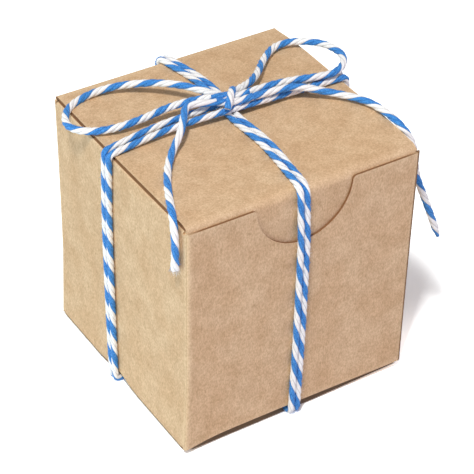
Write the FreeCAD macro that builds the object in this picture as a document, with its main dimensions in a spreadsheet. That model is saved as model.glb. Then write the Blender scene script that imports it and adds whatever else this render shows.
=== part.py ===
import FreeCAD, Part

import math
import os

import Sketcher
from FreeCAD import Placement, Rotation, Vector

# A small folding carton of kraft board, tied both ways with striped twine and a bow.
# Millimetres. The origin is under the middle of the carton, on the surface it stands on;
# the front panel faces -Y, the lid hinges at the back panel (+Y), and +Z is up.

SIZES = {
    # the carton, measured outside over its folds
    "carton_width": 51.0,
    "carton_depth": 51.0,
    "carton_height": 53.0,
    "board": 0.45,
    "board_gap": 0.08,
    # outside radii of the folds
    "corner_fold": 0.8,
    "lid_fold": 1.8,
    "hinge_fold": 0.8,
    "flap_fold": 0.65,
    # how far the front panel's cut edges stop short of the lid and the bottom
    "edge_drop": 0.9,
    "lid_side_inset": 0.5,
    "tuck_length": 14.0,
    "tuck_side_gap": 1.0,
    "tuck_corner": 6.0,
    # dust flaps, which spring a little way into the carton
    "flap_length": 22.0,
    "flap_side_gap": 0.6,
    "flap_dip": 1.9,
    "flap_corner": 4.0,
    "glue_flap_width": 11.0,
    "glue_flap_taper": 3.0,
    "notch_radius": 10.7,
    "notch_shoulder": 0.8,
    # the bottom panel is pressed in, a little more than the twine that crosses under it
    "dish_radius": 22.0,
    "dish_spare": 0.1,
    # the twine is thinner where it is drawn tight, and pressed flat where it bears
    "twine_tight": 1.35,
    "twine_slack": 1.5,
    "twine_flat": 0.1,
    "twine_clearance": 0.03,
}

# Where the pairs of strands run, chosen by hand: X for the pair that goes from front to
# back, Y for the pair that goes from left to right.
FRONT_BACK_X = {
    "front_top": -0.6,
    "lid_front": 1.5,
    "lid_middle": 0.6,
    "lid_back": 2.4,
    "back_top": -0.6,
    "back_bottom": -0.2,
    "front_bottom": -1.1,
    "front_low": -0.55,
    "notch": -0.4,
}
LEFT_RIGHT_Y = {
    # place: the middle of the pair, and how far each strand lies off from it
    "left_top": (2.7, 0.15),
    "lid_left": (3.9, 0.4),
    "knot_left": (2.75, 0.5),
    "knot_right": (2.7, 0.5),
    "lid_right": (2.25, 0.45),
    "right_top": (1.65, 0.35),
    "right_low": (1.9, 0.1),
    "right_bottom": (1.0, 0.0),
    "dish_right": (0.9, 0.0),
    "dish_middle": (1.2, 0.0),
    "dish_left": (1.3, 0.0),
    "left_bottom": (1.5, 0.0),
    "left_low": (3.0, 0.1),
    "left_high": (3.6, 0.15),
}

# Points of the bow: X, Y and the height of the twine's centre over the lid. They suit a
# carton this wide and deep, and a knot this thick, and spread with both.
BOW_SPAN = 51.0
BOW_THICKNESS = 4.2
LOOP_LEFT = [
    (-1.6, 7.7, 3.5),
    (-3.1, 9.9, 3.75),
    (-5.4, 12.9, 3.7),
    (-8.9, 16.6, 3.1),
    (-13.2, 19.7, 2.3),
    (-17.8, 21.4, 1.5),
    (-22.6, 21.1, 1.0),
    (-26.5, 18.8, 0.9),
    (-28.9, 13.7, 0.9),
    (-25.1, 9.1, 1.2),
    (-18.3, 7.3, 1.9),
    (-9.6, 7.6, 2.8),
    (-4.4, 6.2, 3.5),
    (-1.9, 4.8, 3.85),
]
LOOP_RIGHT = [
    (5.3, 5.6, 3.35),
    (7.6, 6.2, 3.15),
    (11.4, 9.0, 2.7),
    (15.5, 13.5, 2.2),
    (20.7, 17.3, 2.0),
    (25.3, 15.9, 2.5),
    (28.7, 11.3, 3.2),
    (29.4, 6.4, 3.6),
    (28.1, 2.9, 3.6),
    (24.7, 0.4, 3.5),
    (20.4, 1.0, 3.45),
    (15.0, 2.6, 3.55),
    (9.0, 3.0, 3.75),
    (5.4, 2.95, 3.75),
]
TAIL_LEFT = [
    (-1.9, 3.15, 3.7),
    (-4.3, 3.5, 4.1),
    (-6.2, 4.2, 4.2),
    (-8.0, 4.4, 4.05),
    (-9.8, 1.9, 3.7),
    (-12.2, -1.1, 2.7),
    (-15.2, -3.3, 1.4),
    (-18.6, -7.0, 0.85),
    (-21.3, -11.4, 0.85),
    (-23.6, -16.0, 0.85),
    (-25.3, -19.9, 1.0),
    (-26.6, -22.9, -0.6),
    (-26.7, -23.5, -4.9),
    (-26.8, -23.4, -9.1),
]
TAIL_RIGHT = [
    (5.3, 1.3, 3.65),
    (8.0, 1.25, 3.45),
    (11.6, 1.4, 3.1),
    (15.2, 1.0, 2.95),
    (18.5, -1.2, 2.2),
    (22.4, -3.8, 1.2),
    (25.9, -7.8, 0.85),
    (27.1, -12.8, 0.75),
    (27.4, -17.4, 0.2),
    (28.6, -20.2, -1.9),
    (29.6, -21.0, -4.8),
    (30.0, -20.9, -9.0),
    (30.8, -20.5, -13.4),
    (32.0, -20.1, -17.6),
    (33.9, -20.0, -22.2),
    (36.4, -20.0, -27.8),
]
# The strands that run through the knot: the middle of each, from one exit to the other.
KNOT_MIDDLES = [
    (LOOP_LEFT, (1.9, 5.4, 3.2), LOOP_RIGHT),
    (LOOP_LEFT[::-1], (1.9, 3.5, 3.85), LOOP_RIGHT[::-1]),
    (TAIL_LEFT, (1.9, 1.5, 3.75), TAIL_RIGHT),
]
# The turn of twine that binds them: up at the back, over the strands and down in front.
KNOT_BAND = [
    (4.6, 7.0, 1.4),
    (4.4, 6.9, 3.4),
    (3.2, 5.2, 4.7),
    (1.3, 2.9, 5.0),
    (-0.1, 1.2, 4.6),
    (-1.0, 0.4, 3.5),
]

doc = FreeCAD.newDocument("favor_box")


class Dim:
    """A length with the spreadsheet formula that it follows."""

    def __init__(self, value, formula):
        self.value = value
        self.formula = formula

    def __add__(self, other):
        return Dim(self.value + other.value, f"({self.formula} + {other.formula})")

    def __sub__(self, other):
        return Dim(self.value - other.value, f"({self.formula} - {other.formula})")

    def __mul__(self, factor):
        return Dim(self.value * factor, f"({self.formula} * {factor})")

    def __neg__(self):
        return self * -1


def write_sheet():
    sheet = doc.addObject("Spreadsheet::Sheet", "Sizes")
    for row, (name, value) in enumerate(SIZES.items(), start=1):
        sheet.set(f"A{row}", name)
        sheet.set(f"B{row}", str(value))
        sheet.setAlias(f"B{row}", name)
    doc.recompute()
    return {name: Dim(sheet.get(name), f"Sizes.{name}") for name in SIZES}


size = write_sheet()
width, depth, height = size["carton_width"], size["carton_depth"], size["carton_height"]
board, gap = size["board"], size["board_gap"]
tight, slack, clearance = size["twine_tight"], size["twine_slack"], size["twine_clearance"]
half_width, half_depth = width * 0.5, depth * 0.5
# the carton stands on the twine that runs under it
foot = tight - size["twine_flat"] + clearance
lid_top = foot + height


def bind(item, name, dim):
    item.setExpression(name, dim.formula)


def sketch_on(body, name, plane, offset=None):
    """A sketch on one of the body's own planes, or at a distance from it along its normal."""
    sketch = body.newObject("Sketcher::SketchObject", name)
    origin_plane = next(item for item in body.Origin.OriginFeatures if item.Role == plane)
    sketch.AttachmentSupport = [(origin_plane, "")]
    sketch.MapMode = "FlatFace"
    if offset is not None:
        sketch.AttachmentOffset = Placement(Vector(0, 0, offset.value), Rotation())
        bind(sketch, "AttachmentOffset.Base.z", offset)
    return sketch


def tie_point(sketch, geometry, end, x, y):
    """Hold a point of the sketch at x, y from its origin."""
    for kind, dim in (("DistanceX", x), ("DistanceY", y)):
        index = sketch.addConstraint(Sketcher.Constraint(kind, geometry, end, dim.value))
        bind(sketch, f"Constraints[{index}]", dim)


def draw_outline(sketch, corners):
    """A closed outline of straight edges through the corners."""
    count = len(corners)
    lines = []
    for (x0, y0), (x1, y1) in zip(corners, corners[1:] + corners[:1]):
        start, end = Vector(x0.value, y0.value, 0), Vector(x1.value, y1.value, 0)
        lines.append(sketch.addGeometry(Part.LineSegment(start, end), False))
    for number, line in enumerate(lines):
        following = lines[(number + 1) % count]
        sketch.addConstraint(Sketcher.Constraint("Coincident", line, 2, following, 1))
        tie_point(sketch, line, 1, *corners[number])


def draw_rectangle(sketch, low, high):
    draw_outline(sketch, [low, (high[0], low[1]), high, (low[0], high[1])])


def draw_circle(sketch, radius, y=None):
    """A circle centred on the sketch's upright axis, at the height y or at the origin."""
    centre = Vector(0, y.value if y else 0, 0)
    circle = sketch.addGeometry(Part.Circle(centre, Vector(0, 0, 1), radius.value), False)
    index = sketch.addConstraint(Sketcher.Constraint("Radius", circle, radius.value))
    bind(sketch, f"Constraints[{index}]", radius)
    if y is None:
        sketch.addConstraint(Sketcher.Constraint("Coincident", circle, 3, -1, 1))
        return
    sketch.addConstraint(Sketcher.Constraint("PointOnObject", circle, 3, -2))
    index = sketch.addConstraint(Sketcher.Constraint("DistanceY", circle, 3, y.value))
    bind(sketch, f"Constraints[{index}]", y)


def pad(body, sketch, name, length, midplane=False, reverse=False):
    feature = body.newObject("PartDesign::Pad", name)
    feature.Profile = sketch
    bind(feature, "Length", length)
    feature.Midplane = midplane
    feature.Reversed = reverse
    doc.recompute()
    return feature


def pocket(body, sketch, name, length=None, reverse=False):
    """Cut the sketch out, to a depth or, with none given, right through both ways."""
    feature = body.newObject("PartDesign::Pocket", name)
    feature.Profile = sketch
    if length is None:
        feature.Type = "ThroughAll"
        feature.Midplane = True
    else:
        bind(feature, "Length", length)
    feature.Reversed = reverse
    doc.recompute()
    return feature


def round_edges(body, name, radius, places):
    """Round the edges of the body's last feature that pass through the places."""
    base = body.Tip
    names = []
    for place in places:
        near = Part.Vertex(Vector(*[coordinate.value for coordinate in place]))
        gaps = [near.distToShape(edge)[0] for edge in base.Shape.Edges]
        nearest = min(range(len(gaps)), key=gaps.__getitem__)
        if gaps[nearest] > 0.01:
            raise ValueError(f"{name}: no edge at {near.Point}")
        names.append(f"Edge{nearest + 1}")
    feature = body.newObject("PartDesign::Fillet", name)
    feature.Base = (base, names)
    bind(feature, "Radius", radius)
    doc.recompute()
    return feature


NOTHING = Dim(0.0, "0")
SIDES = (-1, 1)
ENDS = (-1, 1)


def from_end(end, distance):
    """The height that lies a distance inside the carton's top (1) or bottom (-1)."""
    return height - distance if end > 0 else distance


# The carton: side panels


def make_side_panels():
    """The band of four panels, glued into a ring, with the thumb notch in the front."""
    body = doc.addObject("PartDesign::Body", "side_panels")
    fold = size["corner_fold"]
    inner_x, inner_y = half_width - board, half_depth - board
    glue_x = inner_x - board
    seam_y = half_depth - fold * 1.2
    glue_end = inner_y - size["glue_flap_width"]
    panel_height = height - size["edge_drop"] * 2

    plan = sketch_on(body, "band_plan", "XY_Plane", size["edge_drop"])
    # the back panel folds in behind the right panel, whose cut edge is the seam
    draw_outline(plan, [
        (half_width, -half_depth), (half_width, seam_y), (inner_x, seam_y),
        (inner_x, half_depth), (-half_width, half_depth), (-half_width, -half_depth),
    ])
    draw_outline(plan, [
        (inner_x, -inner_y), (inner_x, glue_end), (glue_x, glue_end),
        (glue_x, inner_y), (-inner_x, inner_y), (-inner_x, -inner_y),
    ])
    pad(body, plan, "band", panel_height)

    middle = height * 0.5
    outside = [(half_width, -half_depth), (inner_x, half_depth),
               (-half_width, half_depth), (-half_width, -half_depth)]
    inside = [(inner_x, -inner_y), (glue_x, inner_y), (-inner_x, inner_y), (-inner_x, -inner_y)]
    round_edges(body, "corner_folds_inside", fold - board, [(x, y, middle) for x, y in inside])
    round_edges(body, "corner_folds_outside", fold, [(x, y, middle) for x, y in outside])

    # the left and right panels stop at the scores that their dust flaps fold on
    scores = sketch_on(body, "score_cuts", "YZ_Plane")
    reach = half_depth - fold
    for end in ENDS:
        past = from_end(end, -fold)
        draw_rectangle(scores, (-reach, from_end(end, score_depth())), (reach, past))
    pocket(body, scores, "side_scores")

    taper = sketch_on(body, "glue_flap_plan", "YZ_Plane", glue_x)
    for end in ENDS:
        corner = (glue_end, from_end(end, score_depth()))
        draw_outline(taper, [
            corner,
            (seam_y, from_end(end, score_depth())),
            (glue_end, from_end(end, score_depth() + size["glue_flap_taper"])),
        ])
    pocket(body, taper, "glue_flap_tapers", board, reverse=True)

    notch = sketch_on(body, "notch_plan", "XZ_Plane", half_depth)
    notch_top = height - size["edge_drop"]
    draw_circle(notch, size["notch_radius"], notch_top)
    pocket(body, notch, "thumb_notch", board + gap)
    mid_board = -(half_depth - board * 0.5)
    shoulders = [(size["notch_radius"] * side, mid_board, notch_top) for side in SIDES]
    round_edges(body, "notch_shoulders", size["notch_shoulder"], shoulders)
    return body


def score_depth():
    """How far below the lid's face a dust flap's fold ends on its side panel."""
    return board + gap + size["flap_fold"] * 1.25


# The carton: lid, bottom, tucks and dust flaps


def make_closures():
    """Both ends of the carton: closing panel, tuck and two dust flaps each."""
    body = doc.addObject("PartDesign::Body", "closures")
    body.AllowCompound = True
    add_closing_panels(body)
    add_tucks(body)
    add_dust_flaps(body)
    press_in_bottom(body)
    return body


def add_closing_panels(body):
    lid_half = half_width - size["lid_side_inset"]
    tuck_y = half_depth - board - gap
    tuck_start = size["lid_fold"] * 1.1
    profile = sketch_on(body, "closing_profile", "YZ_Plane")
    for end in ENDS:
        draw_outline(profile, [
            (half_depth, from_end(end, size["edge_drop"])),
            (half_depth, from_end(end, NOTHING)),
            (-tuck_y, from_end(end, NOTHING)),
            (-tuck_y, from_end(end, tuck_start)),
            (board - tuck_y, from_end(end, tuck_start)),
            (board - tuck_y, from_end(end, board)),
            (half_depth - board, from_end(end, board)),
            (half_depth - board, from_end(end, size["edge_drop"])),
        ])
    pad(body, profile, "closing_panels", lid_half * 2, midplane=True)

    def along(y, distance):
        return [(NOTHING, y, from_end(end, distance)) for end in ENDS]

    round_edges(body, "hinge_inside", size["hinge_fold"] - board, along(half_depth - board, board))
    round_edges(body, "hinge_outside", size["hinge_fold"], along(half_depth, NOTHING))
    round_edges(body, "lid_fold_inside", size["lid_fold"] - board, along(board - tuck_y, board))
    round_edges(body, "lid_fold_outside", size["lid_fold"], along(-tuck_y, NOTHING))

    # below the front panel's edge the fold is as narrow as the tuck, to clear the corners
    ends = sketch_on(body, "fold_end_cuts", "XZ_Plane", tuck_y + gap * 0.5)
    for side in SIDES:
        for end in ENDS:
            draw_rectangle(
                ends,
                (tuck_half() * side, from_end(end, size["edge_drop"] - gap)),
                ((lid_half + gap * 0.5) * side, from_end(end, tuck_start + gap)),
            )
    pocket(body, ends, "fold_ends", size["lid_fold"])


def tuck_half():
    return half_width - size["corner_fold"] - size["tuck_side_gap"] * 0.5


def add_tucks(body):
    tuck_y = half_depth - board - gap
    plan = sketch_on(body, "tuck_plan", "XZ_Plane", tuck_y)
    for end in ENDS:
        draw_rectangle(
            plan,
            (-tuck_half(), from_end(end, size["lid_fold"] * 1.1)),
            (tuck_half(), from_end(end, size["tuck_length"])),
        )
    pad(body, plan, "tucks", board, reverse=True)
    mid_board = board * 0.5 - tuck_y
    corners = [
        (tuck_half() * side, mid_board, from_end(end, size["tuck_length"]))
        for side in SIDES for end in ENDS
    ]
    round_edges(body, "tuck_corners", size["tuck_corner"], corners)


def add_dust_flaps(body):
    length, dip = size["flap_length"], size["flap_dip"]
    flap_half = half_depth - size["corner_fold"] - size["flap_side_gap"]
    face = board + gap
    tip = half_width - length
    inner_dip = Dim(
        dip.value * board.value / length.value,
        f"({dip.formula} * {board.formula} / {length.formula})",
    )
    profile = sketch_on(body, "dust_flap_profile", "XZ_Plane")
    for side in SIDES:
        for end in ENDS:
            draw_outline(profile, [
                (half_width * side, from_end(end, score_depth())),
                (half_width * side, from_end(end, face)),
                (tip * side, from_end(end, face + dip)),
                (tip * side, from_end(end, face + dip + board)),
                ((half_width - board) * side, from_end(end, face + board + inner_dip)),
                ((half_width - board) * side, from_end(end, score_depth())),
            ])
    pad(body, profile, "dust_flaps", flap_half * 2, midplane=True)

    def along(x, distance):
        return [(x * side, NOTHING, from_end(end, distance)) for side in SIDES for end in ENDS]

    fold = size["flap_fold"]
    round_edges(body, "flap_fold_inside", fold - board,
                along(half_width - board, face + board + inner_dip))
    round_edges(body, "flap_fold_outside", fold, along(half_width, face))
    corners = [
        (tip * side, flap_half * front, from_end(end, face + dip + board * 0.5))
        for side in SIDES for front in SIDES for end in ENDS
    ]
    round_edges(body, "flap_corners", size["flap_corner"], corners)


def press_in_bottom(body):
    """Cut a disc out of the bottom panel and put a shallow dome in its place."""
    radius, rise = size["dish_radius"], tight + size["dish_spare"]
    disc = sketch_on(body, "dish_plan", "XY_Plane")
    draw_circle(disc, radius)
    pocket(body, disc, "dish_opening", board + gap * 0.5, reverse=True)

    section = sketch_on(body, "dish_section", "XZ_Plane")
    arcs = []
    for level in (NOTHING, board):
        low, high = level.value, level.value + rise.value
        sphere = (radius.value ** 2 + rise.value ** 2) / (2 * rise.value)
        half_angle = math.asin(radius.value / sphere)
        circle = Part.Circle(Vector(0, high - sphere, 0), Vector(0, 0, 1), sphere)
        arc = Part.ArcOfCircle(circle, math.pi / 2 - half_angle, math.pi / 2)
        index = section.addGeometry(arc, False)
        section.addConstraint(Sketcher.Constraint("PointOnObject", index, 3, -2))
        section.addConstraint(Sketcher.Constraint("PointOnObject", index, 2, -2))
        tie_point(section, index, 1, radius, level)
        top = section.addConstraint(Sketcher.Constraint("DistanceY", index, 2, high))
        bind(section, f"Constraints[{top}]", rise + level)
        arcs.append(index)
    for end, x, low in ((1, radius.value, 0.0), (2, 0.0, rise.value)):
        start, stop = Vector(x, low, 0), Vector(x, low + board.value, 0)
        line = section.addGeometry(Part.LineSegment(start, stop), False)
        section.addConstraint(Sketcher.Constraint("Coincident", line, 1, arcs[0], end))
        section.addConstraint(Sketcher.Constraint("Coincident", line, 2, arcs[1], end))
    dish = body.newObject("PartDesign::Revolution", "dish")
    dish.Profile = section
    dish.ReferenceAxis = (section, ["V_Axis"])
    dish.Angle = 360
    doc.recompute()


def make_carton():
    """One folded sheet of board: the band of side panels and the closures, as one solid."""
    carton = doc.addObject("Part::Fuse", "carton")
    carton.Base = make_side_panels()
    carton.Tool = make_closures()
    carton.Refine = True
    bind(carton, "Placement.Base.z", foot)
    return carton


# Twine


def rounded_route(points, radii=None):
    """Straight runs joined by tangent arcs. Without radii each arc is as large as its two
    runs allow; a radius in the list rounds its inner point by that much."""
    points = [Vector(*point) for point in points]
    edges, start, tightest = [], points[0], math.inf
    for number in range(1, len(points) - 1):
        before, corner, after = points[number - 1:number + 2]
        runs = (corner - before).Length, (after - corner).Length
        arriving, leaving = (corner - before).normalize(), (after - corner).normalize()
        half_turn = arriving.getAngle(leaving) / 2
        radius = radii[number - 1] if radii else None
        if radius is None:
            radius = 0.45 * min(runs) / math.tan(half_turn)
        trim = radius * math.tan(half_turn)
        first, last = corner - arriving * trim, corner + leaving * trim
        inward = (leaving - arriving).normalize()
        centre = corner + inward * (radius / math.cos(half_turn))
        middle = centre - inward * radius
        edges.append(Part.LineSegment(start, first).toShape())
        edges.append(Part.Arc(first, middle, last).toShape())
        start = last
        tightest = min(tightest, radius)
    edges.append(Part.LineSegment(start, points[-1]).toShape())
    return Part.Wire(edges), tightest


def make_tube(name, points, diameter, radii=None):
    """A round strand swept along the route through the points."""
    wire, tightest = rounded_route(points, radii)
    route = doc.addObject("Part::Feature", f"{name}_route")
    route.Shape = wire
    section = doc.addObject("Part::Circle", f"{name}_section")
    bind(section, "Radius", diameter * 0.5)
    heading = (Vector(*points[1]) - Vector(*points[0])).normalize()
    section.Placement = Placement(Vector(*points[0]), Rotation(Vector(0, 0, 1), heading))
    tube = doc.addObject("Part::Sweep", name)
    tube.Sections = [section]
    tube.Spine = (route, [])
    tube.Solid = True
    doc.recompute()
    expected = math.pi * diameter.value ** 2 / 4 * wire.Length
    print(f"{name}: length {wire.Length:.1f}, tightest radius {tightest:.2f}, "
          f"volume / (section x length) {tube.Shape.Volume / expected:.4f}")
    return tube


def make_strand(name, diameter, halves):
    """A closed ring of twine, swept as two halves that meet on straight runs."""
    tubes = []
    (first, second) = halves
    for half, before, after in ((first, second[-1], second[0]), (second, first[-1], first[0])):
        corners = [Vector(*corner[:3]) for corner in half]
        start = (Vector(*before[:3]) + corners[0]) * 0.5
        end = (corners[-1] + Vector(*after[:3])) * 0.5
        radii = [corner[3] for corner in half]
        label = f"{name}_{'over' if half is first else 'under'}"
        tubes.append(make_tube(label, [start, *corners, end], diameter, radii))
    ring = doc.addObject("Part::Fuse", name)
    ring.Base, ring.Tool = tubes
    return ring


def make_pair(name, strands):
    """Two strands side by side, pressed flat where they bear on the table."""
    pair = doc.addObject("Part::Compound", f"{name}_strands")
    pair.Links = strands
    below = doc.addObject("Part::Box", f"{name}_table")
    for side, extent in (("Length", width * 2), ("Width", depth * 2), ("Height", height)):
        bind(below, side, extent)
    for axis, extent in (("x", width), ("y", depth), ("z", height)):
        bind(below, f"Placement.Base.{axis}", -extent)
    pressed = doc.addObject("Part::Cut", name)
    pressed.Base, pressed.Tool = pair, below
    doc.recompute()
    return pressed


# levels of a strand's centre: lying on the lid, under the bottom, and one strand further in
reach = tight.value / 2 + clearance.value
on_lid = lid_top.value + reach
under_bottom = foot.value - reach
step = tight.value + clearance.value * 2
spacing = tight.value / 2 + 0.01
front_y = -(half_depth.value + reach)
tuck_front_y = -(half_depth - board - gap).value - reach
back_y = half_depth.value + reach
side_x = half_width.value + reach


def make_front_back():
    """The pair that runs over the lid, through the notch and under the box."""
    at = FRONT_BACK_X
    notch_z = (lid_top - size["edge_drop"] - size["notch_radius"]).value
    hinge = size["hinge_fold"].value + reach
    strands = []
    for side in SIDES:
        x = {place: value + spacing * side for place, value in at.items()}
        over = [
            (x["front_top"], tuck_front_y, on_lid, size["lid_fold"].value + reach),
            (x["lid_front"], -half_depth.value * 0.37, on_lid, None),
            (x["lid_middle"], half_depth.value * 0.08, on_lid, None),
            (x["lid_back"], half_depth.value * 0.47, on_lid, None),
            (x["back_top"], back_y, on_lid, hinge),
        ]
        under = [
            (x["back_bottom"], back_y, under_bottom, hinge),
            (x["front_bottom"], front_y, under_bottom, size["edge_drop"].value + reach),
            (x["front_low"], front_y, foot.value + height.value * 0.38, None),
            (x["notch"], front_y, notch_z, size["notch_radius"].value * 4),
        ]
        label = f"front_back_{'left' if side < 0 else 'right'}"
        strands.append(make_strand(label, tight, (over, under)))
    return make_pair("wrap_front_back", strands)


def make_left_right():
    """The pair that crosses over the other one on the lid and inside it under the box."""
    edge = size["lid_side_inset"].value + reach
    over_x = FRONT_BACK_X["lid_middle"] + 0.3
    under_x = (FRONT_BACK_X["front_bottom"] + FRONT_BACK_X["back_bottom"]) / 2
    dish = size["dish_radius"].value - tight.value
    crossing = on_lid + step
    slope = step / (side_x - edge)
    edge_z = on_lid - edge * slope
    mid_x = half_width.value * 0.5
    mid_z = on_lid + (side_x - mid_x - edge) * slope
    strands = []
    for side in SIDES:
        y = {place: middle + (spacing + apart) * side
             for place, (middle, apart) in LEFT_RIGHT_Y.items()}
        over = [
            (-side_x, y["left_top"], edge_z, edge),
            (-mid_x, y["lid_left"], mid_z, None),
            (over_x - spacing, y["knot_left"], crossing, None),
            (over_x + spacing, y["knot_right"], crossing, None),
            (mid_x, y["lid_right"], mid_z, None),
            (side_x, y["right_top"], edge_z, edge),
        ]
        under = [
            (side_x, y["right_low"], foot.value + height.value * 0.5, None),
            (side_x, y["right_bottom"], under_bottom, edge),
            (dish, y["dish_right"], under_bottom, dish),
            (under_x + spacing, y["dish_middle"], under_bottom + step, None),
            (under_x - spacing, y["dish_middle"], under_bottom + step, None),
            (-dish, y["dish_left"], under_bottom, dish),
            (-side_x, y["left_bottom"], under_bottom, edge),
            (-side_x, y["left_low"], foot.value + height.value * 0.25, None),
            (-side_x, y["left_high"], foot.value + height.value * 0.7, None),
        ]
        label = f"left_right_{'front' if side < 0 else 'back'}"
        strands.append(make_strand(label, tight, (over, under)))
    return make_pair("wrap_left_right", strands)


def over_lid(points):
    wide, deep = width.value / BOW_SPAN, depth.value / BOW_SPAN
    thick = (tight * 2 + slack).value / BOW_THICKNESS
    return [(x * wide, y * deep, lid_top.value + z * thick) for x, y, z in points]


def make_knot():
    """The strands between the exits of the bow and the turn that binds them, as one piece."""
    tubes = []
    for number, (one, middle, other) in enumerate(KNOT_MIDDLES, start=1):
        ends = []
        for route in (one, other):
            exit_point, following = (Vector(*point) for point in over_lid(route[:2]))
            inward = (exit_point - following).normalize()
            ends.append((exit_point, exit_point + inward * slack.value * 0.5))
        points = [*ends[0], *over_lid([middle]), *ends[1][::-1]]
        tubes.append(make_tube(f"knot_strand_{number}", points, slack))
    tubes.append(make_tube("knot_band", over_lid(KNOT_BAND), slack))
    knot = doc.addObject("Part::MultiFuse", "bow_knot")
    knot.Shapes = tubes
    return knot


nodes = [
    make_carton(),
    make_front_back(),
    make_left_right(),
    make_knot(),
    make_tube("bow_loop_left", over_lid(LOOP_LEFT), slack),
    make_tube("bow_loop_right", over_lid(LOOP_RIGHT), slack),
    make_tube("bow_tail_left", over_lid(TAIL_LEFT), slack),
    make_tube("bow_tail_right", over_lid(TAIL_RIGHT), slack),
]
doc.recompute()

for item in doc.Objects:
    if "Invalid" in item.State or "Error" in item.State:
        raise RuntimeError(f"{item.Name}: {item.State}")
os.makedirs("parts", exist_ok=True)
for item in nodes:
    item.Label = item.Name
    if item.Shape.isNull() or not item.Shape.isValid():
        raise RuntimeError(f"{item.Name}: bad shape")
    item.Shape.exportStep(f"parts/{item.Name}.step")
    box = item.Shape.BoundBox
    print(f"{item.Name}: {len(item.Shape.Solids)} solid(s), {item.Shape.Volume:.1f} mm3, "
          f"x {box.XMin:.2f}..{box.XMax:.2f}, y {box.YMin:.2f}..{box.YMax:.2f}, "
          f"z {box.ZMin:.2f}..{box.ZMax:.2f}")
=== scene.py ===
import math

import bmesh
import bpy
from mathutils import Matrix, Vector


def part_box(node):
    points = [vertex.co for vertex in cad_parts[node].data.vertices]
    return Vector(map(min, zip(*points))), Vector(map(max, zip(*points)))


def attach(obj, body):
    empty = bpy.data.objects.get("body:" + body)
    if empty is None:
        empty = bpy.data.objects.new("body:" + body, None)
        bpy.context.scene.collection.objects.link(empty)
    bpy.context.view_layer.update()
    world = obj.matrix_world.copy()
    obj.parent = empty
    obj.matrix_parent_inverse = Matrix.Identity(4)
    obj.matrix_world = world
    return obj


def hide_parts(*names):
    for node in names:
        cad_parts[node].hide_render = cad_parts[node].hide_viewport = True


# A small folding carton of kraft board, tied both ways with blue and white baker's twine
# and a bow. Metres; the front panel faces -Y.

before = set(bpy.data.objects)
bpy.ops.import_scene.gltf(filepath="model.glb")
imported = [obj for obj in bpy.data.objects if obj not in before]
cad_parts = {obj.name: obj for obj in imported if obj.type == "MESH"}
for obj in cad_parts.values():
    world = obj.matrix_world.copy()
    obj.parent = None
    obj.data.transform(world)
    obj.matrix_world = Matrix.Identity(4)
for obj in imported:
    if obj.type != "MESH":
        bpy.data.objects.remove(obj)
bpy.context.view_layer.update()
carton_low, carton_high = (Vector(corner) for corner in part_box("carton"))
MM = 0.001
LID = carton_high.z
BOTTOM = carton_low.z
SIDE = carton_high.x
DEPTH = carton_high.y

TWINE_TIGHT = 1.35 * MM
TWINE_SLACK = 1.5 * MM
TWINE_GAP = 0.03 * MM


def linear(hex_colour):
    """An sRGB hex colour as linear RGBA."""
    channels = [int(hex_colour[i:i + 2], 16) / 255 for i in (1, 3, 5)]
    return [c / 12.92 if c <= 0.04045 else ((c + 0.055) / 1.055) ** 2.4 for c in channels] + [1.0]


def add_node(tree, kind, links=None, **settings):
    """Adds a node. links maps an input's name or index to a value or to the socket it takes."""
    node = tree.nodes.new(kind)
    for name, value in settings.items():
        setattr(node, name, value)
    for name, value in (links or {}).items():
        if isinstance(value, bpy.types.NodeSocket):
            tree.links.new(value, node.inputs[name])
        else:
            node.inputs[name].default_value = value
    return node


def math_node(tree, operation, *values):
    return add_node(tree, "ShaderNodeMath", dict(enumerate(values)),
                    operation=operation).outputs[0]


def ramp(tree, value, low, high, out_low=0.0, out_high=1.0, kind="SMOOTHSTEP"):
    """out_low where value is low, out_high where it is high, and no further either way."""
    return add_node(tree, "ShaderNodeMapRange", {
        "Value": value, "From Min": low, "From Max": high,
        "To Min": out_low, "To Max": out_high,
    }, interpolation_type=kind).outputs[0]


def mix(tree, amount, one, other, kind="MIX"):
    return add_node(tree, "ShaderNodeMix", {0: amount, 6: one, 7: other},
                    data_type="RGBA", blend_type=kind).outputs[2]


def add_object(name, data):
    placed = bpy.data.objects.new(name, data)
    bpy.context.scene.collection.objects.link(placed)
    return placed


def hand_in(piece, node):
    """The piece rides on the part's one body and takes this CAD node's place; the node is hidden.
    """
    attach(piece, "root")
    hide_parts(node)


# Camera

CAMERA_AZIMUTH = math.radians(-32.52)
CAMERA_ELEVATION = math.radians(36.94)
CAMERA_ROLL = math.radians(0.94)
CAMERA_DISTANCE = 381.9 * MM
CAMERA_SENSOR = 36.0
CAMERA_LENS = 144.3
CAMERA_SHIFT = (0.0131, -0.0078)


def place_camera():
    target = Vector((0, 0, (BOTTOM + LID) / 2))
    back = Vector((
        math.sin(CAMERA_AZIMUTH) * math.cos(CAMERA_ELEVATION),
        -math.cos(CAMERA_AZIMUTH) * math.cos(CAMERA_ELEVATION),
        math.sin(CAMERA_ELEVATION),
    ))
    level_right = Vector((0, 0, 1)).cross(back).normalized()
    level_up = back.cross(level_right)
    right = math.cos(CAMERA_ROLL) * level_right + math.sin(CAMERA_ROLL) * level_up
    up = back.cross(right)
    data = bpy.data.cameras.new("camera")
    data.sensor_width = CAMERA_SENSOR
    data.lens = CAMERA_LENS
    data.shift_x, data.shift_y = CAMERA_SHIFT
    camera = add_object("camera", data)
    turn = Matrix((right, up, back)).transposed().to_4x4()
    camera.matrix_world = Matrix.Translation(target + back * CAMERA_DISTANCE) @ turn
    bpy.context.scene.camera = camera


place_camera()


# The tied carton's shape

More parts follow.
